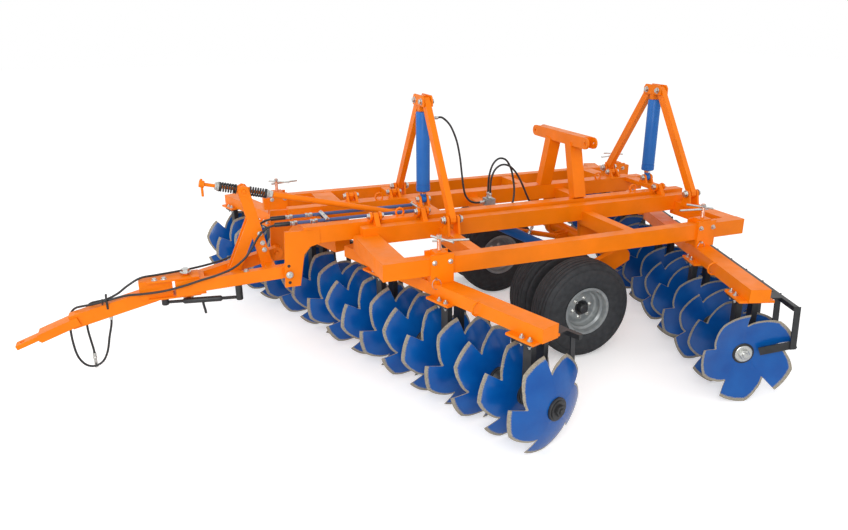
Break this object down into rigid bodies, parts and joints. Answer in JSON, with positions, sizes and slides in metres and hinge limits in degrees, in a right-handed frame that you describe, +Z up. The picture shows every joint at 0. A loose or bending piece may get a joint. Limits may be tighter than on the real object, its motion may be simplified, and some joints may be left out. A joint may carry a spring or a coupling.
{
  "type": "disc harrow",
  "caption": "Trailed offset disc harrow: two rows of notched discs under folding wings, masts with hydraulic cylinders, twin wheels on a lift shaft, drawbar with levelling rod.",
  "frame": {"origin": "centre of the footprint on the ground, under the tyres", "axes": "+X forwards to the hitch, +Y to the left of the machine, +Z up"},
  "size_m": [6.882, 4.6688, 2.13],
  "materials": {
    "black": "satin paint",
    "blue": "gloss paint",
    "grey": "satin paint",
    "orange": "gloss paint",
    "rubber": "worn rubber",
    "zinc": "zinc plated"
  },
  "bodies": {
    "frame": {"centre_frame": "orange", "wing_rest": "orange", "hydraulic_pipes": "zinc", "shaft_bearing_left": "orange", "shaft_bearing_right": "orange", "fold_rod_front": "zinc", "fold_rod_rear": "zinc", "distributor_block": "grey", "hose_frame_arc": "black"},
    "wing_left": {"wing_frame_left": "orange", "gang_beam_front_left": "orange", "gang_beam_rear_left": "orange", "hangers_front_left": "black", "hangers_rear_left": "black"},
    "discs_front_left": {"gang_front_left": "blue"},
    "discs_rear_left": {"gang_rear_left": "blue"},
    "wing_right": {"wing_frame_right": "orange", "gang_beam_front_right": "orange", "gang_beam_rear_right": "orange", "hangers_front_right": "black", "hangers_rear_right": "black"},
    "discs_front_right": {"gang_front_right": "blue"},
    "discs_rear_right": {"gang_rear_right": "blue"},
    "mast_head_front": {"crosshead_front": "orange", "fold_cylinder_front": "blue"},
    "leg_front_left": {"mast_leg_front_left": "orange"},
    "leg_front_right": {"mast_leg_front_right": "orange"},
    "mast_head_rear": {"crosshead_rear": "orange", "fold_cylinder_rear": "blue"},
    "leg_rear_left": {"mast_leg_rear_left": "orange"},
    "leg_rear_right": {"mast_leg_rear_right": "orange"},
    "lift_shaft": {"rocker": "orange"},
    "wheels_left": {"wheel_rims_left": "grey", "tyre_left_outer": "rubber", "tyre_left_inner": "rubber"},
    "wheels_right": {"wheel_rims_right": "grey", "tyre_right_outer": "rubber", "tyre_right_inner": "rubber"},
    "drawbar_body": {"drawbar": "orange", "draw_tube": "orange", "turnbuckle": "black", "hose_drawbar_left": "black", "hose_drawbar_right": "black", "coupler_left": "zinc", "coupler_right": "zinc"},
    "levelling": {"levelling_rod": "orange", "levelling_spring_front": "black", "levelling_spring_rear": "black"},
    "lift_barrel": {"lift_cylinder": "blue", "hose_lift_front": "black", "hose_lift_rear": "black"},
    "lift_ram": {"lift_rod": "zinc"}
  },
  "joints": [
    {"name": "fold_left", "type": "hinge", "parent": "frame", "child": "wing_left", "pos_m": [-1.2048, 0.37214, 1.222], "axis": [1, 0, 0], "range_deg": [0, 90]},
    {"name": "fold_right", "type": "hinge", "parent": "frame", "child": "wing_right", "pos_m": [-1.2048, -0.37186, 1.222], "axis": [1, 0, 0], "range_deg": [-90, 0]},
    {"name": "mast_slide_front", "type": "slide", "parent": "frame", "child": "mast_head_front", "axis": [0, 0, 1], "range_m": [0, 0.42]},
    {"name": "leg_swing_front_left", "type": "hinge", "parent": "mast_head_front", "child": "leg_front_left", "pos_m": [0.0952, 0.07814, 2.08], "axis": [1, 0, 0], "range_deg": [-15.97, 0]},
    {"name": "leg_swing_front_right", "type": "hinge", "parent": "mast_head_front", "child": "leg_front_right", "pos_m": [0.0952, -0.07786, 2.08], "axis": [1, 0, 0], "range_deg": [0, 15.97]},
    {"name": "mast_slide_rear", "type": "slide", "parent": "frame", "child": "mast_head_rear", "axis": [0, 0, 1], "range_m": [0, 0.42]},
    {"name": "leg_swing_rear_left", "type": "hinge", "parent": "mast_head_rear", "child": "leg_rear_left", "pos_m": [-2.3048, 0.07814, 2.08], "axis": [1, 0, 0], "range_deg": [-15.97, 0]},
    {"name": "leg_swing_rear_right", "type": "hinge", "parent": "mast_head_rear", "child": "leg_rear_right", "pos_m": [-2.3048, -0.07786, 2.08], "axis": [1, 0, 0], "range_deg": [0, 15.97]},
    {"name": "spin_front_left", "type": "hinge", "parent": "wing_left", "child": "discs_front_left", "pos_m": [0.8052, 0.00014, 0.3555], "axis": [-0.3173, 0.9483, 0], "continuous": true},
    {"name": "spin_front_right", "type": "hinge", "parent": "wing_right", "child": "discs_front_right", "pos_m": [0.8052, 0.00014, 0.3555], "axis": [-0.3173, 0.9483, 0], "continuous": true},
    {"name": "spin_rear_left", "type": "hinge", "parent": "wing_left", "child": "discs_rear_left", "pos_m": [-2.3748, 0.00014, 0.3555], "axis": [0.3173, 0.9483, 0], "continuous": true},
    {"name": "spin_rear_right", "type": "hinge", "parent": "wing_right", "child": "discs_rear_right", "pos_m": [-2.3748, 0.00014, 0.3555], "axis": [0.3173, 0.9483, 0], "continuous": true},
    {"name": "lift", "type": "hinge", "parent": "frame", "child": "lift_shaft", "pos_m": [-1.4548, 0.00014, 0.741], "axis": [0, 1, 0], "range_deg": [-11.5, 33.5]},
    {"name": "wheel_spin_left", "type": "hinge", "parent": "lift_shaft", "child": "wheels_left", "pos_m": [-0.94396, 0.80014, 0.4225], "axis": [0, 1, 0], "continuous": true},
    {"name": "wheel_spin_right", "type": "hinge", "parent": "lift_shaft", "child": "wheels_right", "pos_m": [-0.94396, -0.79986, 0.4225], "axis": [0, 1, 0], "continuous": true},
    {"name": "drawbar_pitch", "type": "hinge", "parent": "frame", "child": "drawbar_body", "pos_m": [1.3802, 0.00014, 0.808], "axis": [0, 1, 0], "range_deg": [-6.5, 6.5]},
    {"name": "levelling_swing", "type": "hinge", "parent": "drawbar_body", "child": "levelling", "pos_m": [1.6452, 0.00014, 1.442], "axis": [0, 1, 0], "range_deg": [-6.5, 6.5]},
    {"name": "lift_barrel_swing", "type": "hinge", "parent": "frame", "child": "lift_barrel", "pos_m": [-0.5048, 0.16014, 0.99], "axis": [0, 1, 0], "range_deg": [-2, 3]},
    {"name": "lift_ram_slide", "type": "slide", "parent": "lift_barrel", "child": "lift_ram", "axis": [-0.8872, 0, -0.4614], "range_m": [-0.06, 0.14]}
  ],
  "couplings": [
    {"joint": "fold_right", "follows": "fold_left", "ratio": -1},
    {"joint": "mast_slide_front", "follows": "fold_left", "m_per_rad": 0.26613},
    {"joint": "leg_swing_front_left", "follows": "fold_left", "ratio": -0.17629},
    {"joint": "leg_swing_front_right", "follows": "fold_left", "ratio": 0.17629},
    {"joint": "mast_slide_rear", "follows": "fold_left", "m_per_rad": 0.26613},
    {"joint": "leg_swing_rear_left", "follows": "fold_left", "ratio": -0.17629},
    {"joint": "leg_swing_rear_right", "follows": "fold_left", "ratio": 0.17629},
    {"joint": "levelling_swing", "follows": "drawbar_pitch", "ratio": -0.91},
    {"joint": "lift_barrel_swing", "follows": "lift", "ratio": 0.0336},
    {"joint": "lift_ram_slide", "follows": "lift", "m_per_rad": 0.2135}
  ]
}
